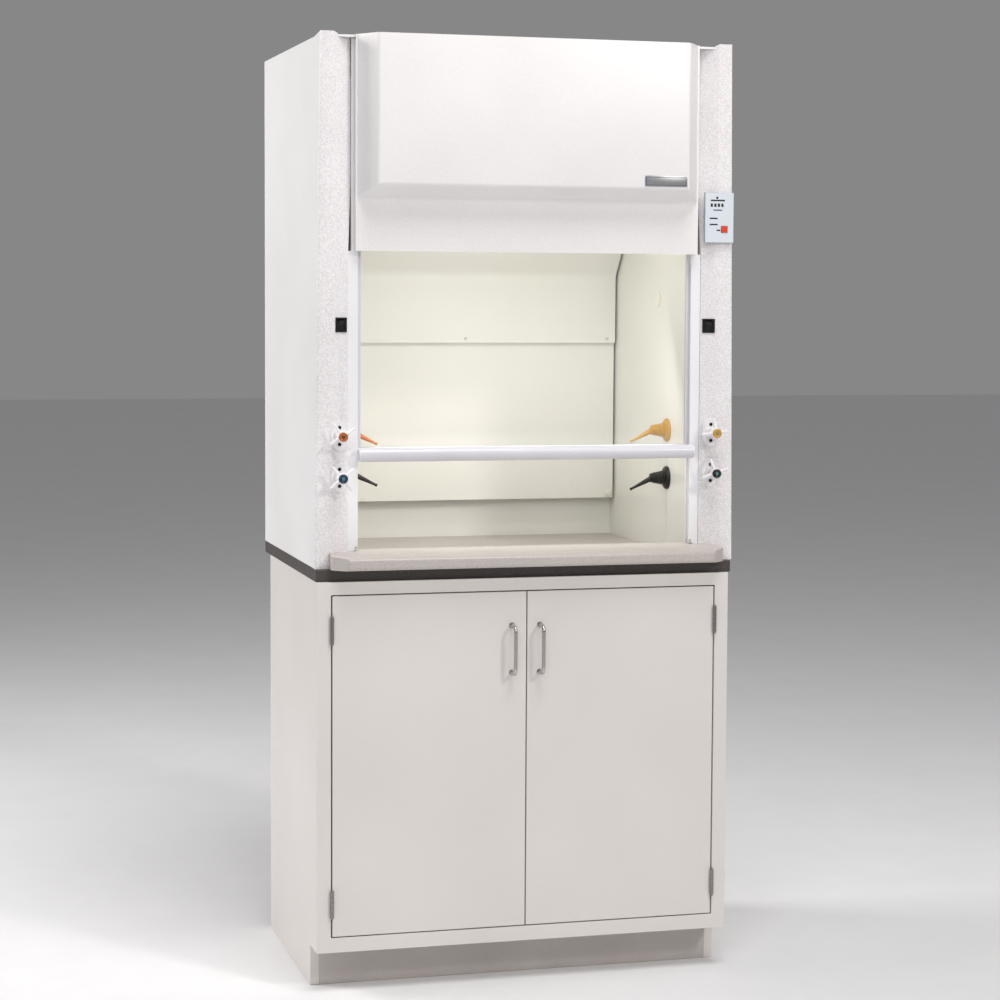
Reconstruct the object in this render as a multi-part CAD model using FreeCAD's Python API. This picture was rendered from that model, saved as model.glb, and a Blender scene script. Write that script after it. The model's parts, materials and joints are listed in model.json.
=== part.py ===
import FreeCAD, Part
import math
import os

# Bench fume hood on a two-door base cabinet, in millimetres, +Z up.
# X runs across the hood from its middle, Y runs back from the front face of the posts,
# Z runs up from the floor.  The finished pieces are then moved so that the origin is the
# middle of the whole assembly at floor level.

V = FreeCAD.Vector

# ---- driving dimensions ---------------------------------------------------------------
HALF = 457.0            # half the width of the hood
DEPTH = 610.0           # posts' front face to the back of the hood
CAB_TOP = 860.0         # top of the base cabinet
SLAB = 25.4             # worktop slab thickness
BASE = CAB_TOP + SLAB   # level that the hood stands on
ROOF = 1979.0           # top of the hood's panels
POST_TOP = 1985.0       # top of the posts' outer strip
LEAN = 12.0             # how far each front corner leans in at the top
SKIN = 5.0              # thickness of the outer and liner panels
CAB_LEFT = -457.0       # base cabinet, outer faces
CAB_RIGHT = 440.0
CAB_FRONT = -24.0
CAB_BACK = 540.0
SILL_FRONT = -61.0      # foremost edge of the deck's sill
STRIP = 30.4            # width of the posts' flat outer strip
INNER = 384.0           # inner edge of the posts beside the opening
BEVEL = 13.6            # how far back that inner edge lies
LINER = 371.0           # inner face of the side liners
PANEL_HALF = 371.0      # half the width of the front panel
PANEL_LOW = 1540.0      # lower edge of the front panel
PANEL_TOP = 1980.0
BULGE = -50.0           # front face of the raised part of the panel
BAR_Z = 1120.0          # height of the sash handle at rest
BAR_Y = -1.0
BAR_R = 14.6
SASH_TOP = 1741.0       # top of the sash at rest
SASH_DOWN = 185.0       # travel to the closed sash
SASH_UP = 175.0         # travel to the stops
STILE_X = 363.0         # middle of the sash stiles
STILE_Y = 29.0
WEIGHT_X = 409.0        # counterweights hang here, inside the posts
WEIGHT_Y = 56.0
WEIGHT_TOP = 1725.0
WEIGHT_LONG = 340.0
CABLE_R = 1.2
PULLEY_Z = 1943.0
VALVE_X = 405.0         # service valves stand on the posts' bevels
VALVE_Z = (1160.0, 1074.0)
NOZZLE_Y = 185.0
DUCT_R = 101.6          # outside radius of the exhaust collar
DUCT_Y = 480.0
DUCT_RISE = 38.0        # how far the collar stands above the roof
MIDDLE_Y = (SILL_FRONT + DEPTH) / 2


# ---- small shape helpers --------------------------------------------------------------
def box(x0, x1, y0, y1, z0, z1):
    """Box between two corners."""
    return Part.makeBox(x1 - x0, y1 - y0, z1 - z0, V(x0, y0, z0))


def rod(radius, start, end):
    """Round rod between two points."""
    along = end - start
    return Part.makeCylinder(radius, along.Length, start, along)


def plate(points, along):
    """Polygon pushed along a vector."""
    wire = Part.makePolygon([V(*p) for p in points] + [V(*points[0])])
    return Part.Face(wire).extrude(V(*along))


def loft(sections):
    """Solid through closed polygons, with straight sides between them."""
    wires = [Part.makePolygon([V(*p) for p in pts] + [V(*pts[0])]) for pts in sections]
    return Part.makeLoft(wires, True, True)


def mirrored(shape):
    """The same piece on the other side of the hood."""
    return shape.mirror(V(0, 0, 0), V(1, 0, 0))


def turned(shape, centre, axis, degrees):
    """Copy of a shape turned about an axis."""
    copy = shape.copy()
    copy.rotate(centre, axis, degrees)
    return copy


def bent_rod(radius, points, bend):
    """Round rod along straight runs joined by arcs of one bend radius."""
    points = [V(*p) for p in points]
    edges, start = [], points[0]
    for before, corner, after in zip(points, points[1:], points[2:]):
        back, ahead = (before - corner).normalize(), (after - corner).normalize()
        reach = bend / math.tan(back.getAngle(ahead) / 2)
        enter, leave = corner + back * reach, corner + ahead * reach
        inward = (back + ahead).normalize()
        middle = corner + inward * (math.hypot(reach, bend) - bend)
        if start.distanceToPoint(enter) > 0.01:
            edges.append(Part.makeLine(start, enter))
        edges.append(Part.Arc(enter, middle, leave).toShape())
        start = leave
    edges.append(Part.makeLine(start, points[-1]))
    ring = Part.Wire(Part.makeCircle(radius, points[0], points[1] - points[0]))
    return Part.Wire(edges).makePipeShell([ring], True, False)


def revolved(profile, centre, axis):
    """Solid of revolution of a closed profile."""
    wire = Part.makePolygon([V(*p) for p in profile] + [V(*profile[0])])
    return Part.Face(wire).revolve(centre, axis, 360)


def save(name, *solids):
    """Writes one sub-part, moved to the assembly's origin."""
    shape = solids[0].copy() if len(solids) == 1 else Part.makeCompound(list(solids))
    shape.translate(V(0, -MIDDLE_Y, 0))
    for solid in shape.Solids:
        if not solid.isValid():
            print("not valid:", name)
    print("%-22s solids %2d  volume %9.1f cm3" % (name, len(shape.Solids), shape.Volume / 1000))
    shape.exportStep("parts/%s.step" % name)


# ---- fasteners ------------------------------------------------------------------------
HEAD_R, HEAD_H, SHANK_R, SHANK_L = 3.6, 2.2, 1.9, 4.0


def screw(at, axis):
    """Pan-head screw: at is the middle of the face under its head, axis points outwards."""
    head = Part.makeCylinder(HEAD_R, HEAD_H, at, axis)
    rim = [e for e in head.Edges if abs(e.CenterOfMass.sub(at).Length - HEAD_H) < 0.01 and not e.Length < 9]
    head = head.makeFillet(0.9, rim[:1]) if rim else head
    slot = Part.makeBox(5, 0.9, 0.8, V(-2.5, -0.45, HEAD_H - 0.7))
    slot.Placement = FreeCAD.Placement(at, FreeCAD.Rotation(V(0, 0, 1), axis)).multiply(slot.Placement)
    return head.fuse(Part.makeCylinder(SHANK_R, SHANK_L, at, -axis)).cut(slot)


def screw_hole(at, axis):
    """Hole that a screw's shank passes through."""
    return Part.makeCylinder(SHANK_R + 0.1, 30, at, -axis)


FRONT = V(0, -1, 0)


# ---- outer shell ----------------------------------------------------------------------
def lean(z):
    """How far the front corner has leaned in at a height."""
    return LEAN * (z - BASE) / (POST_TOP - BASE)


def side_panel():
    """Left outer skin: upright at the back, leaning in at the front."""
    def section(z):
        t = lean(z)
        return [(-HALF + t, 4.0, z), (-HALF + SKIN + t, 4.0, z),
                (-HALF + SKIN, DEPTH - SKIN, z), (-HALF, DEPTH - SKIN, z)]
    skin = loft([section(BASE), section(POST_TOP)])
    ramp = plate([(-HALF - 5, 4, POST_TOP), (-HALF - 5, 61, ROOF), (-HALF - 5, DEPTH, ROOF),
                  (-HALF - 5, DEPTH, POST_TOP + 5), (-HALF - 5, 4, POST_TOP + 5)], (60, 0, 0))
    return skin.cut(ramp)


def scoop(z):
    """Share of the bevel that is still shallow, from 1 beside the opening to 0 above."""
    top, low = 1700.0, PANEL_LOW + 5
    if z >= top:
        return 0.02
    if z <= low:
        return 0.98
    return min(0.98, max(0.02, ((top - z) / (top - low)) ** 1.6))


def post_blank():
    """Left front post: flat outer strip, bevel towards the sash, return for the track."""
    def section(z):
        t, f = lean(z), scoop(z)
        deep = (0.98 - f) / 0.96
        crease = (-HALF + STRIP + t, 0.0)
        edge = (-INNER + 6.2 * deep, BEVEL + 11.0 * deep)
        back = 34 - 3.5 * deep
        shallow = (crease[0] + (-INNER - crease[0]) * f, BEVEL * f)
        return [(-HALF + t, 0, z), (crease[0], crease[1], z), (shallow[0], shallow[1], z),
                (edge[0], edge[1], z), (edge[0], back, z), (edge[0] - 4, back, z),
                (edge[0] - 4, edge[1] + 4.2, z), (crease[0] - 1.5, 4, z), (-HALF + t, 4, z)]
    levels = [BASE, PANEL_LOW + 5] + [PANEL_LOW + 5 + 155 * k / 6 for k in range(1, 7)] + [POST_TOP]
    post = loft([section(z) for z in levels])
    top_cut = plate([(-418, -5, POST_TOP + 0.1), (-403, -5, ROOF), (-360, -5, ROOF),
                     (-360, -5, POST_TOP + 9), (-418, -5, POST_TOP + 9)], (0, 60, 0))
    corner = [e for e in post.Edges if e.Length > 10
              and all(abs(v.Y) < 0.1 and v.X + HALF - lean(v.Z) < 0.1 for v in e.Vertexes)]
    post = post.makeFillet(3.5, corner)
    return post.cut(top_cut).cut(box(-460, -360, 4.5, 60, ROOF - SKIN - 0.5, POST_TOP + 9))


def bevel_frame(z):
    """Placement on the left bevel: X runs inwards along it, Y back into the post, Z up."""
    crease = -HALF + STRIP + lean(z)
    run = V(-INNER - crease, BEVEL, 0)
    middle = V(crease, 0, z) + run * SWITCH_SHARE
    return FreeCAD.Placement(middle, FreeCAD.Rotation(V(0, 0, 1), math.degrees(math.atan2(run.y, run.x))))


SWITCH_Z = 1388.0
SWITCH_SHARE = 0.555    # how far across the bevel the switch sits


def placed(shape, placement):
    """Copy of a shape carried from its own frame to a placement."""
    copy = shape.copy()
    copy.Placement = placement.multiply(copy.Placement)
    return copy


def post():
    """Left post with the openings for its switch and its two valves."""
    shape = post_blank()
    shape = shape.cut(placed(box(-11.3, 11.3, -15, 30, -12.8, 12.8), bevel_frame(SWITCH_Z)))
    for z in VALVE_Z:
        shape = shape.cut(rod(8, V(-VALVE_X, -30, z), V(-VALVE_X, 60, z)))
    return shape


def roof_panel():
    """Flat roof inside the side panels, with the hole for the exhaust collar."""
    front, back = HALF - SKIN - LEAN - 0.3, HALF - SKIN - 0.3
    sheet = plate([(-front, 5, ROOF - SKIN), (front, 5, ROOF - SKIN),
                   (back, DEPTH - SKIN - 0.3, ROOF - SKIN), (-back, DEPTH - SKIN - 0.3, ROOF - SKIN)],
                  (0, 0, SKIN))
    return sheet.cut(rod(DUCT_R + 0.5, V(0, DUCT_Y, ROOF - 20), V(0, DUCT_Y, ROOF + 20)))


def front_panel():
    """Moulded panel over the sash: raised middle with sloped sides over a flat lower band."""
    def bulge(gap, top):
        low, high = PANEL_LOW + 110, PANEL_LOW + 134
        outer = [(-368 + gap, 0, low + gap), (368 - gap, 0, low + gap), (368 - gap, 0, top), (-368 + gap, 0, top)]
        inner = [(-333.5 + gap, BULGE + gap, high + gap), (333.5 - gap, BULGE + gap, high + gap),
                 (333.5 - gap, BULGE + gap, top), (-333.5 + gap, BULGE + gap, top)]
        return loft([outer, inner])
    band = box(-PANEL_HALF, PANEL_HALF, 0, 4, PANEL_LOW, PANEL_TOP)
    lip = box(-PANEL_HALF, PANEL_HALF, 0, 13, PANEL_LOW, PANEL_LOW + 4)
    sides = [box(x, x + 4, 0, 13, PANEL_LOW, PANEL_TOP - 10) for x in (-PANEL_HALF, PANEL_HALF - 4)]
    head = box(-PANEL_HALF, PANEL_HALF, 0, 4.8, PANEL_TOP - 4, PANEL_TOP)
    shell = bulge(0, PANEL_TOP)
    soft = [e for e in shell.Edges if e.Vertexes[0].Y < BULGE + 1 and e.Vertexes[1].Y < BULGE + 1
            and min(e.Vertexes[0].Z, e.Vertexes[1].Z) < PANEL_TOP - 1]
    shell = shell.makeFillet(9, soft)
    body = shell.fuse([band, lip, head] + sides).removeSplitter()
    foot = [e for e in body.Edges if e.Length > 700 and abs(e.CenterOfMass.z - PANEL_LOW - 110) < 1
            and abs(e.CenterOfMass.y) < 0.5]
    body = body.makeFillet(14, foot)
    hollow = bulge(4, PANEL_TOP - 4).fuse(box(-363.9, 363.9, -0.01, 4.01, PANEL_LOW + 114, PANEL_TOP - 4))
    return body.cut(hollow).removeSplitter()


def exhaust_collar():
    """Rolled steel collar with the flange that rests on the roof."""
    top, low = ROOF + DUCT_RISE, CEILING + SKIN
    spigot = rod(DUCT_R, V(0, DUCT_Y, ROOF), V(0, DUCT_Y, top))
    sleeve = rod(DUCT_R - 0.6, V(0, DUCT_Y, low), V(0, DUCT_Y, ROOF))
    flange = rod(DUCT_R + 22, V(0, DUCT_Y, ROOF), V(0, DUCT_Y, ROOF + 2))
    return spigot.fuse([sleeve, flange]).cut(rod(DUCT_R - 2, V(0, DUCT_Y, low - 5), V(0, DUCT_Y, top + 5)))


# ---- chamber --------------------------------------------------------------------------
CEILING = 1700.0
LINER_FRONT = 48.0
LINER_BACK = 596.0
TUBE_R = 4.75           # copper service tube


def liner_side(side):
    """Liner wall with the holes for its two service tubes and the butt joint below them."""
    wall = box(LINER, LINER + SKIN, LINER_FRONT, LINER_BACK + 4, BASE, CEILING)
    for z in nozzle_levels(side):
        wall = wall.cut(rod(TUBE_R + 0.5, V(300, NOZZLE_Y, z), V(400, NOZZLE_Y, z)))
    wall = wall.cut(box(LINER - 1, LINER + 0.8, NOZZLE_Y - 0.7, NOZZLE_Y + 0.7, BASE - 1, 1150))
    return wall if side > 0 else mirrored(wall)


def nozzle_levels(side):
    """Heights of the two hose nozzles on a side wall."""
    return (1156.0, 1067.0) if side < 0 else (1156.0, 1050.0)


def liner_ceiling():
    """Ceiling with the lamp opening and the exhaust hole."""
    sheet = box(-LINER - SKIN, LINER + SKIN, 60, LINER_BACK + 4, CEILING, CEILING + SKIN)
    sheet = sheet.cut(box(-290, 290, 115, 195, CEILING - 5, CEILING + 10))
    return sheet.cut(rod(DUCT_R - 2, V(0, DUCT_Y, CEILING - 5), V(0, DUCT_Y, CEILING + 10)))


BAFFLE_T = 3.0
BAFFLE_HALF = 366.0
LOWER_BAFFLE_Y = 562.0
UPPER_LINE = [(552, 1342), (552, 1484), (550, 1496), (545, 1506), (537, 1515), (515, 1541), (386, 1697)]


def baffle_upper():
    """Upper baffle: nearly upright, then rolled forward under the exhaust."""
    line = [V(-BAFFLE_HALF, y, z) for y, z in UPPER_LINE]
    far = []
    for k, point in enumerate(line):
        before, after = line[max(k - 1, 0)], line[min(k + 1, len(line) - 1)]
        run = (after - before).normalize()
        far.append(point + V(0, run.z, -run.y) * BAFFLE_T)
    ring = [(p.x, p.y, p.z) for p in line + far[::-1]]
    return plate(ring, (2 * BAFFLE_HALF, 0, 0))


def baffle_lower():
    """Flat lower baffle, open below for the lower exhaust slot."""
    return box(-BAFFLE_HALF, BAFFLE_HALF, LOWER_BAFFLE_Y, LOWER_BAFFLE_Y + BAFFLE_T, 976, 1345)


BAFFLE_SCREWS = [(-346, 1352), (3, 1352), (346, 1352)]


def standoff(x, z, front, radius):
    """Spacer that holds a baffle off the back liner."""
    return rod(radius, V(x, front, z), V(x, LINER_BACK, z))


def round_plug(radius, height, at, axis):
    """Snap-in hole plug with a rounded rim; at is on the panel's face."""
    plug = Part.makeCylinder(radius, height, at, axis)
    face = at + axis * height
    rim = [e for e in plug.Edges if e.CenterOfMass.distanceToPoint(face) < 0.01]
    return plug.makeFillet(height * 0.6, rim)


TIP_TILT = 26.0


def hose_nozzle(side, z):
    """Serrated hose nozzle on a stepped hub with a domed wall flange."""
    steps = [(0, 0), (26, 0), (26, 3), (21, 8), (15, 9.5), (15, 20), (12.5, 21), (12.5, 31), (9.5, 33),
             (9.5, 38), (0, 38)]
    hub = revolved([(s, 0, r) for r, s in steps], V(0, 0, 0), V(1, 0, 0))
    barbs = [(0, 0), (5.6, 0)]
    for k in range(6):
        start, size = 9 + 8 * k, 5.6 - 0.42 * k
        barbs += [(size, start), (size - 1.1, start + 7.6)]
    barbs += [(2.2, 57), (0, 57)]
    tip = revolved([(s, 0, r) for r, s in barbs], V(0, 0, 0), V(1, 0, 0))
    tip = turned(tip, V(0, 0, 0), V(0, 1, 0), TIP_TILT)
    tip.translate(V(34, 0, 0))
    shape = hub.fuse(tip).cut(rod(2.2, V(-1, 0, 0), V(30, 0, 0)))
    shape.translate(V(-LINER, NOZZLE_Y, z))
    return shape if side < 0 else mirrored(shape)


def service_tube(side, z_valve, z_nozzle):
    """Copper tube from the back of a valve body, down or level, and across to its nozzle."""
    x, y = -VALVE_X, NOZZLE_Y
    path = [(x, 62, z_valve), (x, 80, z_valve), (x, y - 50, z_nozzle), (x, y, z_nozzle),
            (-LINER - 0.2, y, z_nozzle)]
    shape = bent_rod(TUBE_R, path if z_nozzle != z_valve else path[:1] + path[3:], 16)
    return shape if side < 0 else mirrored(shape)


def lamp_housing():
    """Folded steel lamp box that sits over the ceiling's opening."""
    shell = box(-322, 322, 98, 212, CEILING + SKIN, CEILING + 70)
    return shell.cut(box(-320.5, 320.5, 99.5, 210.5, CEILING, CEILING + 68.5))


def lamp_tube():
    """Lamp tube with its metal end caps and pins."""
    y, z = 155, CEILING + 38
    tube = rod(13, V(-288, y, z), V(288, y, z)).fuse(rod(12.4, V(-300, y, z), V(300, y, z)))
    for pin_z in (z - 6.3, z + 6.3):
        tube = tube.fuse(rod(1.2, V(-307, y, pin_z), V(307, y, pin_z)))
    return tube


# ---- sash and its counterbalance ------------------------------------------------------
TRACK_LOW, TRACK_TOP = 921.5, 1895.0


def sash_track():
    """Left track: channel whose groove faces the sash, its front wall run up to the roof, and a
    flange that closes the space to the post beside the opening."""
    rail = box(-377, -363, 16, 44, TRACK_LOW, TRACK_TOP)
    rail = rail.fuse(box(-377, -363, 16, 22, TRACK_TOP, ROOF - SKIN - 1))
    rail = rail.fuse(box(-INNER + 0.4, -LINER - 0.5, 16, 22, BASE + 0.5, PANEL_LOW))
    rail = rail.cut(box(-371.3, -360, STILE_Y - 4.9, STILE_Y + 4.9, TRACK_LOW - 5, TRACK_TOP + 5))
    return rail.cut(screw_hole(V(-366, 16, TRACK_LOW + 6), FRONT))


def sash_stile():
    """Left stile: hollow bar that runs in the track and takes the cable."""
    bar = box(-370.5, -355.5, STILE_Y - 4.4, STILE_Y + 4.4, BAR_Z - 8, SASH_TOP)
    return bar.cut(rod(2.2, V(-STILE_X, STILE_Y, BAR_Z), V(-STILE_X, STILE_Y, SASH_TOP + 5)))


def sash_handle():
    """Extruded rail: round grip tube in front, web, and the channel that holds the glass."""
    half = 355.3
    grip = rod(BAR_R, V(-363, BAR_Y, BAR_Z), V(363, BAR_Y, BAR_Z))
    bore = rod(BAR_R - 2.2, V(-364, BAR_Y, BAR_Z), V(364, BAR_Y, BAR_Z))
    web = box(-half, half, BAR_Y + BAR_R - 1.5, 22.5, BAR_Z - 5, BAR_Z + 5)
    channel = box(-half, half, 22.5, 35.5, BAR_Z - 8, BAR_Z + 14)
    groove = box(-half - 1, half + 1, 26.4, 31.6, BAR_Z - 4, BAR_Z + 15)
    return grip.fuse([web, channel]).cut(bore).cut(groove)


def sash_end_cap():
    """Rounded plug in the left end of the grip tube."""
    plug = rod(BAR_R - 2.4, V(-363, BAR_Y, BAR_Z), V(-350, BAR_Y, BAR_Z))
    cap = rod(BAR_R - 0.2, V(-366, BAR_Y, BAR_Z), V(-363, BAR_Y, BAR_Z))
    rim = [e for e in cap.Edges if abs(e.CenterOfMass.x + 366) < 0.01]
    return cap.makeFillet(2.2, rim).fuse(plug)


def sash_glass():
    """Laminated pane between the stiles."""
    return box(-355.1, 355.1, 26.8, 31.2, BAR_Z - 3.5, SASH_TOP - 3)


def sash_top_rail():
    """Slim channel along the top of the pane."""
    rail = box(-355.2, 355.2, 23.5, 34.5, SASH_TOP - 14, SASH_TOP)
    return rail.cut(box(-356, 356, 26.6, 31.4, SASH_TOP - 20, SASH_TOP - 2.8))


def counterweight():
    """Left counterweight: steel bar, bored for its cable."""
    bar = box(-WEIGHT_X - 17, -WEIGHT_X + 17, WEIGHT_Y - 16, WEIGHT_Y + 16, WEIGHT_TOP - WEIGHT_LONG, WEIGHT_TOP)
    return bar.cut(rod(2.4, V(-WEIGHT_X, WEIGHT_Y, WEIGHT_TOP - WEIGHT_LONG - 5),
                       V(-WEIGHT_X, WEIGHT_Y, WEIGHT_TOP + 5)))


CABLE_RUN = V(STILE_X - WEIGHT_X, WEIGHT_Y - STILE_Y, 0)     # stile to weight, left side
PULLEY_R = CABLE_RUN.Length / 2                              # radius at the cable's middle
PULLEY_AT = V(-(STILE_X + WEIGHT_X) / 2, (STILE_Y + WEIGHT_Y) / 2, PULLEY_Z)
PULLEY_TURN = math.degrees(math.atan2(CABLE_RUN.y, CABLE_RUN.x))
PULLEY_PLACE = FreeCAD.Placement(PULLEY_AT, FreeCAD.Rotation(V(0, 0, 1), PULLEY_TURN))


def pulley():
    """Left pulley: grooved wheel, its plane turned so the cable drops on stile and weight."""
    groove = PULLEY_R - CABLE_R - 0.3
    wheel = revolved([(4.05, -4, 0), (PULLEY_R + 2, -4, 0), (PULLEY_R + 2, -3, 0), (groove, -1.7, 0),
                      (groove, 1.7, 0), (PULLEY_R + 2, 3, 0), (PULLEY_R + 2, 4, 0), (4.05, 4, 0)],
                     V(0, 0, 0), V(0, 1, 0))
    for k in range(5):
        wheel = wheel.cut(turned(rod(4.2, V(14.5, -6, 0), V(14.5, 6, 0)), V(0, 0, 0), V(0, 1, 0), 72 * k))
    return placed(wheel, PULLEY_PLACE)


def pulley_bracket():
    """Hanger for the left pulley: two cheeks under the roof and the axle through them."""
    high = ROOF - SKIN - PULLEY_Z
    cheeks = box(-8, 8, -6.6, -4.6, -9, high).fuse(box(-8, 8, 4.6, 6.6, -9, high))
    cheeks = cheeks.fuse(box(-8, 8, -6.6, 6.6, high - 1.8, high))
    cheeks = cheeks.cut(rod(4, V(0, -20, 0), V(0, 20, 0)))
    axle = rod(4, V(0, -8, 0), V(0, 8, 0))
    return placed(cheeks, PULLEY_PLACE), placed(axle, PULLEY_PLACE)


def sash_cable():
    """Left cable: stile, half turn over the pulley, weight; its ends run inside both."""
    low_stile = SASH_TOP - SASH_DOWN - PULLEY_Z
    low_weight = WEIGHT_TOP - SASH_UP - PULLEY_Z
    path = [(-PULLEY_R, 0, low_stile), (-PULLEY_R, 0, PULLEY_R), (PULLEY_R, 0, PULLEY_R),
            (PULLEY_R, 0, low_weight)]
    return placed(bent_rod(CABLE_R, path, PULLEY_R), PULLEY_PLACE)


# ---- controls on the posts ------------------------------------------------------------
def switch_bezel():
    """Snap-in switch body with its flange on the left post."""
    flange = box(-13.5, 13.5, -2.2, -0.05, -15, 15)
    body = box(-11, 11, -0.05, 24, -12.5, 12.5)
    shape = flange.fuse(body).cut(box(-7.6, 7.6, -5, 9, -11.4, 11.4))
    return placed(shape, bevel_frame(SWITCH_Z))


ROCKER_TILT = 12.0


def rocker():
    """Rocker of the left switch, resting with its lower half pressed in."""
    outline = [(-7.2, -3.0, 10), (-7.2, -0.6, 0), (-7.2, -3.0, -10), (-7.2, 3.2, -9.2), (-7.2, 5.2, 0),
               (-7.2, 3.2, 9.2)]
    shape = plate(outline, (14.4, 0, 0))
    shape.rotate(V(0, 2.0, 0), V(1, 0, 0), ROCKER_TILT)
    return placed(shape, bevel_frame(SWITCH_Z))


ALARM = dict(x0=384.0, x1=448.6, z0=1565.0, z1=1671.0, y=-8.0)


def alarm_housing():
    """Shallow box of the air-flow alarm, on the right post."""
    a = ALARM
    case = box(a["x0"], a["x1"], a["y"], 0, a["z0"], a["z1"])
    upright = [e for e in case.Edges if abs(e.Vertexes[0].Z - e.Vertexes[1].Z) > 50]
    case = case.makeFillet(2.0, upright)
    return case.cut(box(a["x0"] + 2, a["x1"] - 2, a["y"] - 1, -2, a["z0"] + 2, a["z1"] - 2))


def alarm_face():
    """Face plate with the openings for the button, the sensor and the lamps."""
    a = ALARM
    face = box(a["x0"] + 0.5, a["x1"] - 0.5, a["y"] - 1.2, a["y"], a["z0"] + 0.5, a["z1"] - 0.5)
    face = face.cut(box(419.8, 435.2, -12, 0, 1586.3, 1600.7))
    return face.cut(rod(2.6, V(411, -12, 1660), V(411, 0, 1660)))


def alarm_button():
    """Square push button of the alarm."""
    key = box(420.2, 434.8, -10.6, -5.5, 1586.7, 1600.3)
    rims = [e for e in key.Edges if abs(e.Vertexes[0].Y - e.Vertexes[1].Y) > 3]
    return key.makeFillet(2.5, rims)


def behind_post():
    """Everything behind the left post's front faces, to trim what stands on them."""
    def section(z):
        return [(-470, 0, z), (-HALF + STRIP + lean(z), 0, z), (-INNER, BEVEL, z), (-360, BEVEL + 8, z),
                (-360, 80, z), (-470, 80, z)]
    return loft([section(1000), section(1300)])


def valve_screw_spots(z):
    """The two screw places of the left escutcheon at a height."""
    return [V(-VALVE_X, ESC_FRONT, z + dz) for dz in (17.5, -17.5)]


ESC_FRONT = -2.0


def valve_escutcheon(z):
    """Oval moulded base that squares the valve to the front, with its central boss."""
    oval = Part.Ellipse(V(0, 0, 0), 30, 18).toShape()
    blank = Part.Face(Part.Wire(oval)).extrude(V(0, 0, 22))
    blank.rotate(V(0, 0, 0), V(0, 0, 1), 90)
    blank.rotate(V(0, 0, 0), V(1, 0, 0), -90)
    blank.translate(V(-VALVE_X, ESC_FRONT, z))
    boss = Part.makeCone(12.5, 10.5, 14, V(-VALVE_X, ESC_FRONT, z), FRONT)
    shape = blank.fuse(boss).cut(behind_post())
    shape = shape.cut(rod(5.05, V(-VALVE_X, -40, z), V(-VALVE_X, 60, z)))
    for spot in valve_screw_spots(z):
        shape = shape.cut(screw_hole(spot, FRONT))
    return shape


def valve_body(z):
    """Brass needle-valve body behind the left post, with its hexagon and outlet."""
    hexagon = [(-VALVE_X + 14 * math.cos(math.radians(60 * k)), 22, z + 14 * math.sin(math.radians(60 * k)))
               for k in range(6)]
    body = plate(hexagon, (0, 8, 0)).fuse(rod(11, V(-VALVE_X, 30, z), V(-VALVE_X, 52, z)))
    body = body.fuse(rod(8, V(-VALVE_X, 52, z), V(-VALVE_X, 61.8, z)))
    return body.cut(rod(5.05, V(-VALVE_X, 20, z), V(-VALVE_X, 40, z)))


def valve_handle(side, z, turn):
    """Four-arm handle with its stem, and the round index button in its hub."""
    hub = rod(11, V(0, -18.5, 0), V(0, -33, 0))
    hub = hub.fuse(Part.makeCone(11, 12.4, 7, V(0, -33, 0), FRONT))
    arm_wires = []
    for reach, wide, thick in ((8, 5.2, 5.0), (16, 3.0, 3.5), (26, 2.7, 3.1), (32.5, 3.6, 3.4)):
        oval = Part.Ellipse(V(0, 0, 0), max(wide, thick) + 0.01, min(wide, thick)).toShape()
        wire = Part.Wire(oval)
        if thick > wide:
            wire.rotate(V(0, 0, 0), V(0, 0, 1), 90)
        wire.rotate(V(0, 0, 0), V(1, 0, 0), 90)
        wire.rotate(V(0, 0, 0), V(0, 0, 1), 90)
        wire.translate(V(reach, -30 + 0.004 * (reach - 8) ** 2, 0))
        arm_wires.append(wire)
    arm = Part.makeLoft(arm_wires, True, False)
    for k in range(4):
        hub = hub.fuse(turned(arm, V(0, 0, 0), V(0, 1, 0), 90 * k))
    stem = rod(5, V(0, -19, 0), V(0, 36, 0))
    pocket = rod(10.4, V(0, -38.5, 0), V(0, -41, 0))
    handle = hub.fuse(stem).cut(pocket)
    button = rod(10.3, V(0, -38.5, 0), V(0, -44, 0))
    rim = [e for e in button.Edges if abs(e.CenterOfMass.y + 44) < 0.01]
    button = button.makeFillet(1.6, rim)
    solids = []
    for shape in (handle, button):
        shape.rotate(V(0, 0, 0), V(0, 1, 0), -turn)
        shape.translate(V(side * VALVE_X, 0, z))
        solids.append(shape)
    return solids


# ---- deck, slab and cabinet -----------------------------------------------------------
def deck():
    """One moulding: sill with a rounded front, ridge under the sash, dished floor behind."""
    floor, low = BASE + 2.6, BASE
    side_view = [(SILL_FRONT, low), (SILL_FRONT, 910), (13.3, 919), (38, 921.5), (52, 919), (80, floor),
                 (LINER_BACK - 0.3, floor), (LINER_BACK - 0.3, low)]
    body = plate([(-430, y, z) for y, z in side_view], (860, 0, 0))
    edges = [e for e in body.Edges if abs(e.Vertexes[0].Y - SILL_FRONT) < 0.01
             and abs(e.Vertexes[1].Y - SILL_FRONT) < 0.01 and e.Length > 100]
    body = body.makeFillet(8.5, edges)
    end = HALF - STRIP
    outline = [(-end, -0.3), (-end, -29), (-end + 32, SILL_FRONT), (end - 32, SILL_FRONT), (end, -29),
               (end, -0.3), (INNER - 0.3, BEVEL - 0.5), (INNER - 0.3, 14), (LINER - 0.3, 14),
               (LINER - 0.3, LINER_BACK - 0.3), (-LINER + 0.3, LINER_BACK - 0.3), (-LINER + 0.3, 14),
               (-INNER + 0.3, 14), (-INNER + 0.3, BEVEL - 0.5)]
    plan = plate([(x, y, 870) for x, y in outline], (0, 0, 80))
    sharp = [e for e in plan.Edges if abs(e.Vertexes[0].Z - e.Vertexes[1].Z) > 50
             and e.Vertexes[0].Y < -20]
    plan = plan.makeFillet(9, sharp)
    return body.common(plan)


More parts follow.
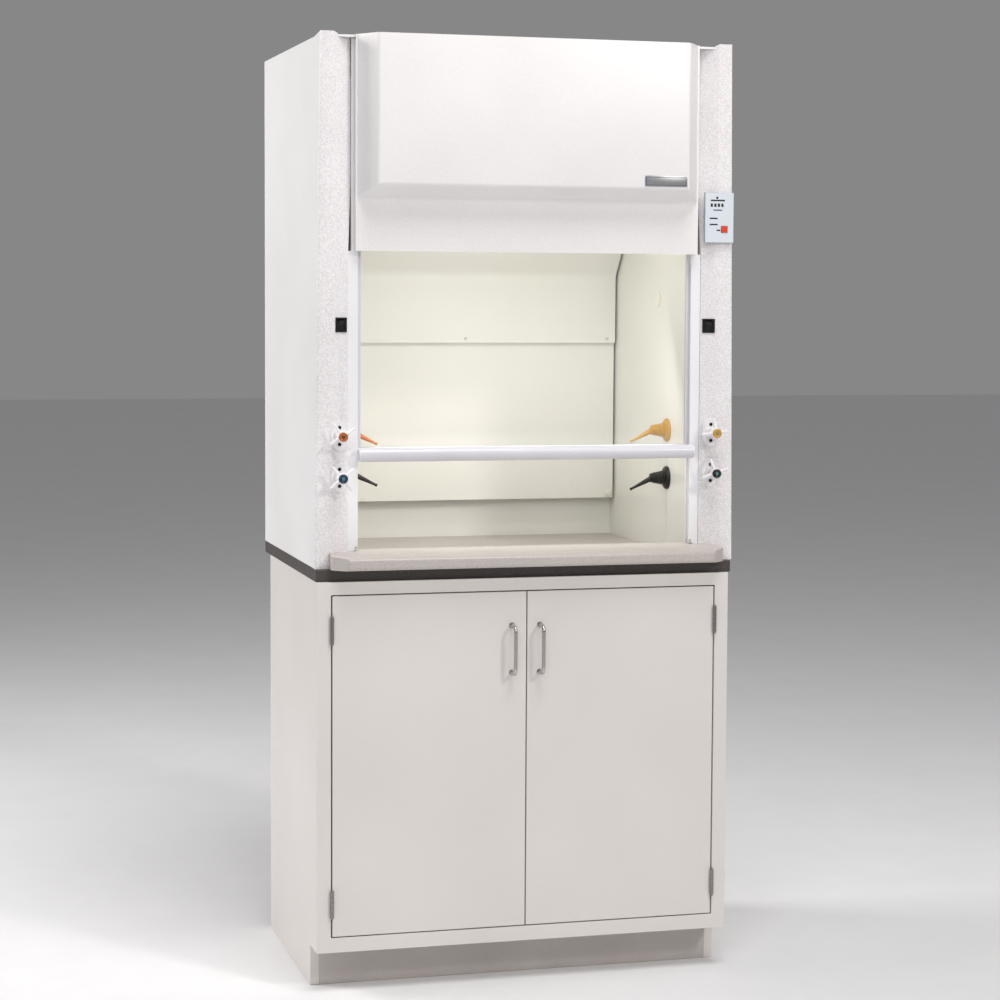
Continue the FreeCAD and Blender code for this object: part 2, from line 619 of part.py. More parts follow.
def worktop():
    """Dark slab between cabinet and hood, with eased edges."""
    slab = box(-HALF, 448, -14, DEPTH - 2, CAB_TOP, BASE)
    front = [e for e in slab.Edges if abs(e.Length - (448 + HALF)) < 0.1 and e.Vertexes[0].Y < 0]
    return slab.makeChamfer(1.2, front)


WALL = 19.0
TOE_HIGH, TOE_DEEP = 86.0, 75.0
OPEN_LEFT, OPEN_RIGHT = CAB_LEFT + 30.0, CAB_RIGHT - 30.0
OPEN_LOW, OPEN_HIGH = 117.0, 833.5
FRAME_BACK = CAB_FRONT + 20.0
DOOR_T = 19.0
DOOR_MID = (CAB_LEFT + CAB_RIGHT) / 2


def cabinet_side(x0):
    """Side wall that stands on the floor, notched in front for the toe space."""
    wall = box(x0, x0 + WALL, FRAME_BACK, CAB_BACK, 0, CAB_TOP)
    return wall.cut(box(x0 - 1, x0 + WALL + 1, FRAME_BACK - 1, CAB_FRONT + TOE_DEEP, -1, TOE_HIGH))


def face_frame():
    """Welded front frame around the door opening."""
    frame = box(CAB_LEFT, CAB_RIGHT, CAB_FRONT, FRAME_BACK, TOE_HIGH, CAB_TOP)
    return frame.cut(box(OPEN_LEFT, OPEN_RIGHT, CAB_FRONT - 1, FRAME_BACK + 1, OPEN_LOW, OPEN_HIGH))


HINGE_GAP = 3.0
PIN_R, KNUCKLE_R = 2.0, 4.0
HINGE_TALL = 57.0
HINGE_Z = (760.0, 188.5)
PIN_X = OPEN_LEFT + 1.4
PIN_Y = CAB_FRONT - 4.4


def knuckles(numbers, z_mid):
    """Chosen knuckles of a five-knuckle barrel, numbered from its lower end."""
    pitch = HINGE_TALL / 5
    low = z_mid - HINGE_TALL / 2
    rings = []
    for n in numbers:
        z0, z1 = low + pitch * n + 0.5, low + pitch * (n + 1) - 0.5
        ring = rod(KNUCKLE_R, V(PIN_X, PIN_Y, z0), V(PIN_X, PIN_Y, z1))
        rings.append(ring)
    return rings


def hinge_leaf(z_mid, x0, x1, mine, others):
    """Leaf between x0 and x1 with its own knuckles, cleared round the others."""
    leaf = box(x0, x1, PIN_Y, CAB_FRONT + 16, z_mid - HINGE_TALL / 2 + 0.2, z_mid + HINGE_TALL / 2 - 0.2)
    pitch = HINGE_TALL / 5
    for n in others:
        low = z_mid - HINGE_TALL / 2 + pitch * n
        leaf = leaf.cut(box(x0 - 1, x1 + 1, PIN_Y - 6, CAB_FRONT, low - 0.2, low + pitch + 0.2))
    leaf = leaf.fuse(knuckles(mine, z_mid))
    bore = PIN_R + 0.05
    return leaf.cut(rod(bore, V(PIN_X, PIN_Y, z_mid - 40), V(PIN_X, PIN_Y, z_mid + 40)))


def frame_leaf(z_mid):
    """Leaf on the frame, left side."""
    return hinge_leaf(z_mid, OPEN_LEFT, OPEN_LEFT + 1.1, (0, 2, 4), (1, 3))


def door_leaf(z_mid):
    """Leaf on the door, left side."""
    return hinge_leaf(z_mid, OPEN_LEFT + 1.7, OPEN_LEFT + 2.8, (1, 3), (0, 2, 4))


def hinge_pin(z_mid):
    """Pin with a rounded tip at each end of the barrel, left side."""
    reach = HINGE_TALL / 2
    pin = rod(PIN_R, V(PIN_X, PIN_Y, z_mid - reach), V(PIN_X, PIN_Y, z_mid + reach))
    tips = [Part.makeCone(3.2, 2.0, 2.2, V(PIN_X, PIN_Y, z_mid + s * reach), V(0, 0, s)) for s in (1, -1)]
    return pin.fuse(tips)


def opposite(shape):
    """The same piece at the cabinet's other side."""
    return shape.mirror(V(DOOR_MID, 0, 0), V(1, 0, 0))


def door():
    """Left door: flush panel inside the frame."""
    panel = box(OPEN_LEFT + HINGE_GAP, DOOR_MID - 1.25, CAB_FRONT, CAB_FRONT + DOOR_T,
                OPEN_LOW + 2.5, OPEN_HIGH - 2.5)
    front = [e for e in panel.Edges if e.Vertexes[0].Y < CAB_FRONT + 0.1 and e.Vertexes[1].Y < CAB_FRONT + 0.1]
    return panel.makeFillet(1.0, front)


SHELF_LOW = 470.0
PULL_X = (-41.0, 19.7)      # left and right pull
PULL_LOW, PULL_HIGH, PULL_OUT = 660.0, 760.0, 31.0
PULL_R, PULL_BEND = 4.0, 12.0


def door_pull(x):
    """Pull: one bent rod with two round feet on the door."""
    out = CAB_FRONT - PULL_OUT
    path = [(x, CAB_FRONT, PULL_LOW), (x, out, PULL_LOW), (x, out, PULL_HIGH), (x, CAB_FRONT, PULL_HIGH)]
    feet = [rod(6.2, V(x, CAB_FRONT, z), V(x, CAB_FRONT - 1.6, z)) for z in (PULL_LOW, PULL_HIGH)]
    return bent_rod(PULL_R, path, PULL_BEND).fuse(feet)


def shelf_clip(x0, y):
    """Angle clip under the shelf: one flange on the side wall, one under the shelf."""
    clip = box(x0, x0 + 14, y, y + 16, 452, SHELF_LOW)
    return clip.cut(box(x0 + 1.6, x0 + 15, y - 1, y + 17, 451, SHELF_LOW - 1.6))


def door_catch(x0):
    """Magnetic catch under the top rail, behind the top of a door."""
    case = box(x0, x0 + 46, -3.8, 16, 818, 841)
    return case.cut(box(x0 + 6, x0 + 40, -5, -1.8, 821, 829))


# ---- write every piece ----------------------------------------------------------------
def both(shape):
    """A piece and its mirror image across the hood."""
    return [shape, mirrored(shape)]


def pair(shapes):
    """Pieces and their mirror images across the cabinet."""
    return list(shapes) + [opposite(s) for s in shapes]


def save_hood():
    save("side_panel_left", side_panel())
    save("side_panel_right", mirrored(side_panel()))
    save("back_panel", box(-HALF, HALF, DEPTH - SKIN, DEPTH, BASE, ROOF))
    save("roof_panel", roof_panel())
    save("post_left", post())
    save("post_right", mirrored(post()))
    save("front_panel", front_panel())
    save("nameplate", box(235, 328.5, BULGE - 1, BULGE, 1679.5, 1702))
    save("exhaust_collar", exhaust_collar())


def save_chamber():
    save("liner_sides", liner_side(-1), liner_side(1))
    save("liner_back", box(-LINER, LINER, LINER_BACK, LINER_BACK + 4, BASE, CEILING))
    save("liner_ceiling", liner_ceiling())
    upper, lower = baffle_upper(), baffle_lower()
    upper_y = UPPER_LINE[0][0]
    fittings = []
    for x, z in BAFFLE_SCREWS:
        hole = screw_hole(V(x, upper_y, z), FRONT)
        upper = upper.cut(hole)
        fittings.append(standoff(x, z, upper_y + BAFFLE_T, 6).cut(hole))
    for x in (-355, 355):
        knob = round_plug(8.5, 6, V(x, LOWER_BAFFLE_Y, 987), FRONT)
        fittings.append(knob.fuse(standoff(x, 987, LOWER_BAFFLE_Y, 4)))
        lower = lower.cut(standoff(x, 987, LOWER_BAFFLE_Y - 1, 4.05))
        fittings.append(standoff(x, 1310, LOWER_BAFFLE_Y + BAFFLE_T, 6))
    fittings.append(round_plug(19, 2.4, V(LINER, 255, 1445), V(-1, 0, 0)))
    save("baffle_upper", upper)
    save("baffle_lower", lower)
    save("chamber_fittings", *fittings)
    save("lamp_housing", lamp_housing())
    save("lamp_lens", box(-300, 300, 105, 205, CEILING + SKIN, CEILING + SKIN + 4))
    save("lamp_tube", lamp_tube())
    (left_high, left_low), (right_high, right_low) = nozzle_levels(-1), nozzle_levels(1)
    save("nozzle_orange", hose_nozzle(-1, left_high))
    save("nozzle_yellow", hose_nozzle(1, right_high))
    save("nozzles_black", hose_nozzle(-1, left_low), hose_nozzle(1, right_low))
    tubes = [service_tube(side, zv, zn) for side in (-1, 1) for zv, zn in zip(VALVE_Z, nozzle_levels(side))]
    bodies = [valve_body(z) for z in VALVE_Z]
    save("service_lines", *(tubes + bodies + [mirrored(b) for b in bodies]))


def save_sash():
    save("sash_tracks", *both(sash_track()))
    save("sash_handle", sash_handle())
    save("sash_end_caps", *both(sash_end_cap()))
    save("sash_glass", sash_glass())
    save("sash_stiles", *(both(sash_stile()) + [sash_top_rail()]))
    save("counterweights", *both(counterweight()))
    save("pulley_left", pulley())
    save("pulley_right", mirrored(pulley()))
    hanger, axle = pulley_bracket()
    save("pulley_hangers", *(both(hanger) + both(axle)))
    save("sash_cables", *both(sash_cable()))


def save_controls():
    save("switch_bezels", *both(switch_bezel()))
    save("rocker_left", rocker())
    save("rocker_right", mirrored(rocker()))
    save("alarm_housing", alarm_housing())
    save("alarm_face", alarm_face())
    save("alarm_button", alarm_button())
    bases = [valve_escutcheon(z) for z in VALVE_Z]
    save("valve_escutcheons", *(bases + [mirrored(b) for b in bases]))
    save("valve_handle_upper_left", *valve_handle(-1, VALVE_Z[0], 33))
    save("valve_handle_lower_left", *valve_handle(-1, VALVE_Z[1], 40))
    save("valve_handle_upper_right", *valve_handle(1, VALVE_Z[0], 5))
    save("valve_handle_lower_right", *valve_handle(1, VALVE_Z[1], 18))
    screws = [screw(V(x, UPPER_LINE[0][0], z), FRONT) for x, z in BAFFLE_SCREWS]
    screws += both(screw(V(-366, 16, TRACK_LOW + 6), FRONT))
    for z in VALVE_Z:
        for spot in valve_screw_spots(z):
            screws += both(screw(spot, FRONT))
    save("screws", *screws)


def save_base():
    save("deck", deck())
    save("worktop", worktop())
    save("cabinet_sides", cabinet_side(CAB_LEFT), cabinet_side(CAB_RIGHT - WALL))
    left, right = CAB_LEFT + WALL, CAB_RIGHT - WALL
    inside = CAB_BACK - 6
    save("cabinet_back", box(left, right, inside, CAB_BACK, TOE_HIGH, CAB_TOP))
    save("cabinet_floor", box(left, right, FRAME_BACK, inside, OPEN_LOW - WALL, OPEN_LOW))
    toe = CAB_FRONT + TOE_DEEP
    save("cabinet_rails", box(left, right, FRAME_BACK, 96, CAB_TOP - WALL, CAB_TOP),
         box(left, right, inside - 100, inside, CAB_TOP - WALL, CAB_TOP),
         box(left, right, toe, toe + 12, 0, OPEN_LOW - WALL))
    save("cabinet_shelf", box(left + 1, right - 1, 40, inside - 1, SHELF_LOW, SHELF_LOW + WALL))
    clips = [shelf_clip(left, y) for y in (80, 440)]
    save("cabinet_fittings", *(pair(clips) + pair([door_catch(DOOR_MID - 54)])))
    save("face_frame", face_frame())
    save("hinge_fixed", *(pair([frame_leaf(z) for z in HINGE_Z]) + pair([hinge_pin(z) for z in HINGE_Z])))
    leaves = [door_leaf(z) for z in HINGE_Z]
    save("hinge_leaves_left", *leaves)
    save("hinge_leaves_right", *[opposite(leaf) for leaf in leaves])
    save("door_left", door())
    save("door_right", opposite(door()))
    save("door_pull_left", door_pull(PULL_X[0]))
    save("door_pull_right", door_pull(PULL_X[1]))


os.makedirs("parts", exist_ok=True)
save_hood()
save_chamber()
save_sash()
save_controls()
save_base()
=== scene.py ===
import json
import math

import bmesh
import bpy
from mathutils import Matrix, Vector

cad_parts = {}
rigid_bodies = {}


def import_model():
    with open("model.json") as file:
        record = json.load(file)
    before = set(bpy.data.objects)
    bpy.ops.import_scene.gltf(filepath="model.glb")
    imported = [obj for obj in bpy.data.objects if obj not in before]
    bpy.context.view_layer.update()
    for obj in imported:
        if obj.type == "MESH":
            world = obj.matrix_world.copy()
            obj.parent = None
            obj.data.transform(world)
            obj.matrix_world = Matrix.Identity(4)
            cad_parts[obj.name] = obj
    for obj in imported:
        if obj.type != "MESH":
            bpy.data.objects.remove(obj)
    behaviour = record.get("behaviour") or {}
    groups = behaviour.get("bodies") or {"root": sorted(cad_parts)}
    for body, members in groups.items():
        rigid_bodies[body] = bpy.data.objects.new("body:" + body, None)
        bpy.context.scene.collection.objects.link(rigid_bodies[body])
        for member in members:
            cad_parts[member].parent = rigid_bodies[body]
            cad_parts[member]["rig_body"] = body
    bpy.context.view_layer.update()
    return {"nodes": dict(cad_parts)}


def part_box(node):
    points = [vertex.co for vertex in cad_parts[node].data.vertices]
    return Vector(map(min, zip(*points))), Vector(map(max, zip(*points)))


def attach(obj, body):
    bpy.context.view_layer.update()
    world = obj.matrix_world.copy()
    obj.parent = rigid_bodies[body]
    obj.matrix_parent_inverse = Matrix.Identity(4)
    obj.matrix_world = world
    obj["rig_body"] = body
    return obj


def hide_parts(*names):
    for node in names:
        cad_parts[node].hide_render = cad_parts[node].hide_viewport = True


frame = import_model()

# ---------------------------------------------------------------------------------------
# Outer skins: side walls, back and roof of the hood.
# Glass-fibre reinforced polyester, moulded against a polished tool, so they are white gelcoat
# with a soft shine, slightly wavy and rounded at every corner.  They are bonded edge to edge.
# ---------------------------------------------------------------------------------------


def linear(code):
    """Scene colour of an sRGB hex value."""
    parts = [int(code[i:i + 2], 16) / 255 for i in (1, 3, 5)]
    return [c / 12.92 if c <= 0.04045 else ((c + 0.055) / 1.055) ** 2.4 for c in parts] + [1.0]


def add(tree, kind, sockets=None, **settings):
    """Adds one shader node: settings are its own options, sockets hold values or other nodes' outputs."""
    node = tree.nodes.new(kind)
    for key, value in settings.items():
        setattr(node, key, value)
    for key, value in (sockets or {}).items():
        if isinstance(value, bpy.types.NodeSocket):
            tree.links.new(value, node.inputs[key])
        else:
            node.inputs[key].default_value = value
    return node


def finish(name, light, dark, roughness, grain_mm, depth_mm, wave_mm=280.0, mottle=0.35, **shader):
    """Moulded or sprayed surface: two near tones, a fine grain and a broad waviness of the real size."""
    material = bpy.data.materials.new(name)
    material.use_nodes = True
    tree = material.node_tree
    tree.nodes.clear()
    place = add(tree, "ShaderNodeTexCoord").outputs["Object"]
    grain = add(tree, "ShaderNodeTexNoise", {"Vector": place, "Scale": 1000 / grain_mm, "Detail": 3.0,
                                             "Roughness": 0.55})
    broad = add(tree, "ShaderNodeTexNoise", {"Vector": place, "Scale": 1000 / wave_mm, "Detail": 2.0})
    share = add(tree, "ShaderNodeMix", {0: mottle, 2: broad.outputs["Fac"], 3: grain.outputs["Fac"]})
    tone = add(tree, "ShaderNodeValToRGB", {"Fac": share.outputs[0]})
    tone.color_ramp.elements[0].position, tone.color_ramp.elements[1].position = 0.36, 0.64
    tone.color_ramp.elements[0].color, tone.color_ramp.elements[1].color = linear(dark), linear(light)
    rough = add(tree, "ShaderNodeMapRange", {"Value": grain.outputs["Fac"], "From Min": 0.3, "From Max": 0.7,
                                             "To Min": roughness - 0.05, "To Max": roughness + 0.05})
    waves = add(tree, "ShaderNodeBump", {"Height": broad.outputs["Fac"], "Strength": 0.6, "Distance": 0.0012})
    bump = add(tree, "ShaderNodeBump", {"Height": grain.outputs["Fac"], "Strength": 1.0,
                                        "Distance": depth_mm / 1000, "Normal": waves.outputs["Normal"]})
    values = {"Base Color": tone.outputs["Color"], "Roughness": rough.outputs["Result"],
              "Normal": bump.outputs["Normal"]}
    values.update({key.replace("_", " "): value for key, value in shader.items()})
    surface = add(tree, "ShaderNodeBsdfPrincipled", values)
    add(tree, "ShaderNodeOutputMaterial", {"Surface": surface.outputs["BSDF"]})
    return material


EDGE_DEGREES = 40       # an edge sharper than this is a real edge: shaded sharp, and rounded
FLAT_DEGREES = 0.4      # faces closer than this lie in one plane
WELD = 0.00002          # corners closer than this, in metres, are one corner


def smooth(mesh, degrees=EDGE_DEGREES):
    """Smooth shading that keeps the edges sharper than an angle."""
    for face in mesh.polygons:
        face.use_smooth = True
    mesh.set_sharp_from_angle(angle=math.radians(degrees))


def rounded(node, material, radius_mm, steps=2):
    """Shown copy of a CAD piece whose sharp edges are rounded to a radius."""
    source = frame["nodes"][node]
    shape = bmesh.new()
    shape.from_mesh(source.data)
    bmesh.ops.remove_doubles(shape, verts=shape.verts, dist=WELD)
    bmesh.ops.dissolve_limit(shape, angle_limit=math.radians(FLAT_DEGREES), verts=shape.verts,
                             edges=shape.edges)
    mesh = bpy.data.meshes.new(node + "_rounded")
    shape.to_mesh(mesh)
    shape.free()
    smooth(mesh)
    mesh.materials.clear()
    mesh.materials.append(material)
    shown = bpy.data.objects.new(node + "_rounded", mesh)
    bpy.context.scene.collection.objects.link(shown)
    edge = shown.modifiers.new("edges", "BEVEL")
    edge.width = radius_mm / 1000
    edge.segments = steps
    edge.limit_method = "ANGLE"
    edge.angle_limit = math.radians(EDGE_DEGREES)
    edge.harden_normals = True
    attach(shown, source["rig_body"])
    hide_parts(node)


def dress(material, *nodes):
    """Gives CAD pieces that keep their own mesh a finish."""
    for node in nodes:
        mesh = frame["nodes"][node].data
        mesh.materials.clear()
        mesh.materials.append(material)


# Polished gelcoat: nearly white, satin, with the faint waviness of a hand-laid panel.
gelcoat = finish("glass_fibre_gelcoat_smooth", "#F3F2F2", "#ECEAEA", 0.38, 3.0, 0.02,
                 Coat_Weight=0.25, Coat_Roughness=0.25, IOR=1.5)
for skin in ("side_panel_left", "side_panel_right", "back_panel"):
    rounded(skin, gelcoat, 1.6)
rounded("roof_panel", gelcoat, 0.8)

# ---------------------------------------------------------------------------------------
# Front posts.
# The same moulding, but sprayed with a stipple coat that hides finger marks: tiny even pebbles
# that the light picks out.  A flat outer strip turns into a bevel beside the sash.
# ---------------------------------------------------------------------------------------

# The real pebbles are about 1 mm; they are drawn at 3.4 mm so that they show.
stipple = finish("glass_fibre_stipple_coat", "#F6F3F4", "#DBD7D8", 0.5, 3.4, 0.5, mottle=0.8, IOR=1.5)
rounded("post_left", stipple, 1.4)
rounded("post_right", stipple, 1.4)

# ---------------------------------------------------------------------------------------
# Front panel over the sash, and its nameplate.
# One vacuum-formed white sheet with a raised middle and sloped sides, clipped between the posts.
# The plate is thin brushed aluminium, left blank, with a printed blue line round it.
# ---------------------------------------------------------------------------------------

panel_sheet = finish("thermoformed_white_sheet", "#F4F2F1", "#EAE7E7", 0.42, 2.6, 0.10, mottle=0.55,
                     Coat_Weight=0.15, Coat_Roughness=0.3, IOR=1.5)
rounded("front_panel", panel_sheet, 2.2, 3)


def mm(x, y, z):
    """A point given in millimetres in the part's own frame."""
    return Vector((x, y, z)) / 1000


def block(shape, low, high, material=0, radius=0.0):
    """Adds a box between two corners, in millimetres, with its edges rounded."""
    low, high = mm(*low), mm(*high)
    made = bmesh.ops.create_cube(shape, size=1.0)["verts"]
    for v in made:
        v.co = Vector([low[i] if v.co[i] < 0 else high[i] for i in range(3)])
    faces = list({f for v in made for f in v.link_faces})
    if radius:
        edges = list({e for f in faces for e in f.edges})
        rim = bmesh.ops.bevel(shape, geom=edges, offset=radius / 1000, segments=2, affect="EDGES",
                              profile=0.5)
        faces = list({f for v in rim["verts"] for f in v.link_faces} | {f for f in faces if f.is_valid})
    for face in faces:
        face.material_index = material


def lathe(shape, profile, at, axis, material=0, steps=48):
    """Adds a turned shape: profile holds distances along the axis and radii, in millimetres."""
    at, axis = mm(*at), Vector(axis).normalized()
    side = axis.orthogonal().normalized()
    other = axis.cross(side)
    rings = []
    for along, radius in profile:
        centre = at + axis * along / 1000
        if radius == 0:
            rings.append([shape.verts.new(centre)])
            continue
        turns = [2 * math.pi * k / steps for k in range(steps)]
        rings.append([shape.verts.new(centre + (side * math.cos(a) + other * math.sin(a)) * radius / 1000)
                      for a in turns])
    for first, second in zip(rings, rings[1:]):
        for k in range(steps):
            n = (k + 1) % steps
            loop = [first[k % len(first)], first[n % len(first)], second[n % len(second)],
                    second[k % len(second)]]
            corners = list(dict.fromkeys(loop))
            if len(corners) > 2:
                shape.faces.new(corners).material_index = material


def piece(name, shape, body, materials, replaced=(), degrees=EDGE_DEGREES):
    """Turns finished mesh code into a piece that moves with a body."""
    bmesh.ops.recalc_face_normals(shape, faces=shape.faces)
    mesh = bpy.data.meshes.new(name)
    shape.to_mesh(mesh)
    shape.free()
    smooth(mesh, degrees)
    for material in materials:
        mesh.materials.append(material)
    shown = bpy.data.objects.new(name, mesh)
    bpy.context.scene.collection.objects.link(shown)
    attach(shown, body)
    if replaced:
        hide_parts(*replaced)


def brushed(name, light, dark, roughness, along, line_mm):
    """Metal with fine parallel brush lines along one axis, at a real spacing."""
    material = bpy.data.materials.new(name)
    material.use_nodes = True
    tree = material.node_tree
    tree.nodes.clear()
    place = add(tree, "ShaderNodeTexCoord").outputs["Object"]
    stretch = [1000 / line_mm] * 3
    stretch["XYZ".index(along)] = 1000 / (line_mm * 40)
    lines = add(tree, "ShaderNodeMapping", {"Vector": place, "Scale": stretch})
    brush = add(tree, "ShaderNodeTexNoise", {"Vector": lines.outputs["Vector"], "Scale": 1.0, "Detail": 2.0})
    tone = add(tree, "ShaderNodeMix", {0: brush.outputs["Fac"], 6: linear(dark), 7: linear(light)},
               data_type="RGBA")
    rough = add(tree, "ShaderNodeMapRange", {"Value": brush.outputs["Fac"], "To Min": roughness - 0.08,
                                             "To Max": roughness + 0.08})
    bump = add(tree, "ShaderNodeBump", {"Height": brush.outputs["Fac"], "Strength": 0.5, "Distance": 0.00004})
    surface = add(tree, "ShaderNodeBsdfPrincipled",
                  {"Base Color": tone.outputs[2], "Roughness": rough.outputs["Result"], "Metallic": 1.0,
                   "Normal": bump.outputs["Normal"]})
    add(tree, "ShaderNodeOutputMaterial", {"Surface": surface.outputs["BSDF"]})
    return material


plate_metal = brushed("aluminium_brushed_sideways", "#C9CACC", "#9C9DA1", 0.38, "X", 0.5)
plate_ink = finish("screen_ink_dark_blue", "#3A4368", "#2F3756", 0.5, 1.5, 0.01)
RULE, INSET, INK_DEPTH = 0.9, 2.6, 0.3      # width, distance from the edge and depth of the line, in mm
low, high = [corner * 1000 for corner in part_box("nameplate")]
plate = bmesh.new()
block(plate, low, high, 0, 0.2)
for z in (low.z + INSET, high.z - INSET - RULE):
    block(plate, (low.x + INSET, low.y - 0.12, z), (high.x - INSET, low.y + INK_DEPTH, z + RULE), 1)
for x in (low.x + INSET, high.x - INSET - RULE):
    block(plate, (x, low.y - 0.11, low.z + INSET), (x + RULE, low.y + INK_DEPTH, high.z - INSET), 1)
piece("nameplate_blank", plate, "frame", [plate_metal, plate_ink], ["nameplate"])

# ---------------------------------------------------------------------------------------
# Exhaust collar and lamp box.
# Rolled and folded galvanised steel; the zinc's crystals give it a soft grey patchwork.  The lamp
# box over the chamber is sprayed white, with an opal tube above a frosted lens.
# ---------------------------------------------------------------------------------------

zinc = bpy.data.materials.new("steel_galvanised")
zinc.use_nodes = True
tree = zinc.node_tree
tree.nodes.clear()
place = add(tree, "ShaderNodeTexCoord").outputs["Object"]
SPANGLE = 9.0       # size of a zinc crystal, in millimetres
crystal = add(tree, "ShaderNodeTexVoronoi", {"Vector": place, "Scale": 1000 / SPANGLE, "Randomness": 1.0})
tone = add(tree, "ShaderNodeMix", {0: crystal.outputs["Color"], 6: linear("#8D9093"), 7: linear("#B9BCBE")},
           data_type="RGBA")
rough = add(tree, "ShaderNodeMapRange", {"Value": crystal.outputs["Color"], "To Min": 0.32, "To Max": 0.5})
surface = add(tree, "ShaderNodeBsdfPrincipled", {"Base Color": tone.outputs[2], "Metallic": 1.0,
                                                 "Roughness": rough.outputs["Result"]})
add(tree, "ShaderNodeOutputMaterial", {"Surface": surface.outputs["BSDF"]})
dress(zinc, "exhaust_collar")

lamp_paint = finish("steel_sprayed_white_gloss", "#F2F2F0", "#E9E9E6", 0.3, 1.6, 0.03, IOR=1.5)
dress(lamp_paint, "lamp_housing")
frost = finish("acrylic_frosted", "#F6F7F4", "#EDEFE9", 0.5, 1.2, 0.05, Emission_Color=linear("#FFF8E4"),
               Emission_Strength=0.25, IOR=1.49)
dress(frost, "lamp_lens")
opal = finish("glass_tube_opal", "#F8F6EE", "#EFEDE4", 0.25, 2.0, 0.01, Emission_Color=linear("#FFF6DC"),
              Emission_Strength=0.6, IOR=1.5)
dress(opal, "lamp_tube")

# ---------------------------------------------------------------------------------------
# Chamber: side, back and ceiling liners, the two baffles, their stand-offs and the wall plug.
# Flat glass-fibre board with a chemical-resistant resin face, a warm white with a hint of green,
# cut square and screwed on.  The fittings are moulded nylon.
# ---------------------------------------------------------------------------------------

board = finish("resin_board_warm_white", "#F0F0EB", "#E8E8E1", 0.36, 2.2, 0.015, wave_mm=420.0,
               mottle=0.4, Coat_Weight=0.3, Coat_Roughness=0.2, IOR=1.52)
dress(board, "liner_sides", "liner_back", "liner_ceiling")
rounded("baffle_upper", board, 0.5)
rounded("baffle_lower", board, 0.5)
nylon = finish("nylon_moulded_natural", "#EFECE3", "#E2DED2", 0.45, 1.0, 0.04, IOR=1.53)
dress(nylon, "chamber_fittings")

# ---------------------------------------------------------------------------------------
# Hose nozzles on the chamber's side walls.
# Injection-moulded polypropylene in the colour of each service: a domed wall flange, a stepped hub
# and a tapered tip that slopes down, with a small lip that holds the hose.
# ---------------------------------------------------------------------------------------

# Each pair is a distance along the axis and a radius, in millimetres.
HUB = [(0, 0), (0, 26), (2.2, 26), (4.4, 24.6), (7.2, 20.5), (9, 16.4), (9.6, 15), (11, 14.6), (12, 15.2),
       (16, 15), (17, 14), (18, 13.4), (19, 13.9), (23.5, 13.6), (24.4, 12.4), (25.4, 12), (26.4, 12.5),
       (31, 12.2), (32.2, 10.8), (33.2, 10.4), (34, 10.6), (38, 10.2), (39.4, 8.6), (39.6, 0)]
TIP = [(0, 0), (0, 5.4), (9, 5.6), (16, 5.3), (30, 4.2), (44, 3.1), (53, 2.6), (54.2, 3.3), (56.2, 3.4),
       (57, 2.6), (57, 1.4), (50, 1.2), (50, 0)]
TILT = math.radians(26)
TIP_START = 34                    # from the wall to the foot of the tip
WALL, NOZZLE_Y = 371.0, -89.5     # the chamber's inner wall and the nozzles' place along y, in mm


def nozzle(shape, side, z):
    """Adds one nozzle; side is -1 on the left wall and 1 on the right wall."""
    lathe(shape, HUB, (side * WALL, NOZZLE_Y, z), (-side, 0, 0), steps=56)
    slope = (-side * math.cos(TILT), 0, -math.sin(TILT))
    lathe(shape, TIP, (side * (WALL - TIP_START), NOZZLE_Y, z), slope, steps=32)


# Each spot is a side and a height above the floor in millimetres.
for name, node, light, dark, spots in (
        ("nozzle_orange_moulded", "nozzle_orange", "#CC6E22", "#B85A18", [(-1, 1156)]),
        ("nozzle_yellow_moulded", "nozzle_yellow", "#CCA043", "#B98A33", [(1, 1156)]),
        ("nozzles_black_moulded", "nozzles_black", "#111212", "#0A0B0B", [(-1, 1067), (1, 1050)])):
    # Polypropylene: dense colour, waxy shine.
    moulded = finish("polypropylene_" + node, light, dark, 0.34, 2.0, 0.03, IOR=1.49)
    shape = bmesh.new()
    for side, z in spots:
        nozzle(shape, side, z)
    piece(name, shape, "frame", [moulded], [node])

# ---------------------------------------------------------------------------------------
# Service lines behind the posts.
# Brass valve bodies and bent copper tube, out of sight in the wall space.
# ---------------------------------------------------------------------------------------

brass = brushed("brass_and_copper_drawn", "#D39A62", "#B07842", 0.3, "Y", 0.8)
dress(brass, "service_lines")

# ---------------------------------------------------------------------------------------
# Sash tracks.
# Square-edged white PVC extrusions that stand on the sill and guide the sash's stiles.
# ---------------------------------------------------------------------------------------

pvc = finish("pvc_extruded_white", "#F6F6F8", "#EEEEF1", 0.4, 2.4, 0.02, Coat_Weight=0.2, Coat_Roughness=0.3,
             IOR=1.52)
rounded("sash_tracks", pvc, 0.9)

# ---------------------------------------------------------------------------------------
# Sash: handle extrusion, end caps, stiles with the top rail, and the pane.
# The handle and stiles are powder-coated aluminium, a cool white with a fine orange peel; the caps
# are pressed-in plastic; the pane is clear laminated glass.
# ---------------------------------------------------------------------------------------

powder = finish("aluminium_powder_coat_cool_white", "#DEDDE3", "#D3D1D8", 0.3, 1.4, 0.05,
                Coat_Weight=0.2, Coat_Roughness=0.25, IOR=1.5)
dress(powder, "sash_handle")
rounded("sash_stiles", powder, 0.5)
cap_plastic = finish("polythene_cap_white", "#ECEBEE", "#E2E0E5", 0.48, 1.2, 0.03, IOR=1.5)
dress(cap_plastic, "sash_end_caps")

glass = bpy.data.materials.new("glass_laminated_clear")
glass.use_nodes = True
tree = glass.node_tree
tree.nodes.clear()
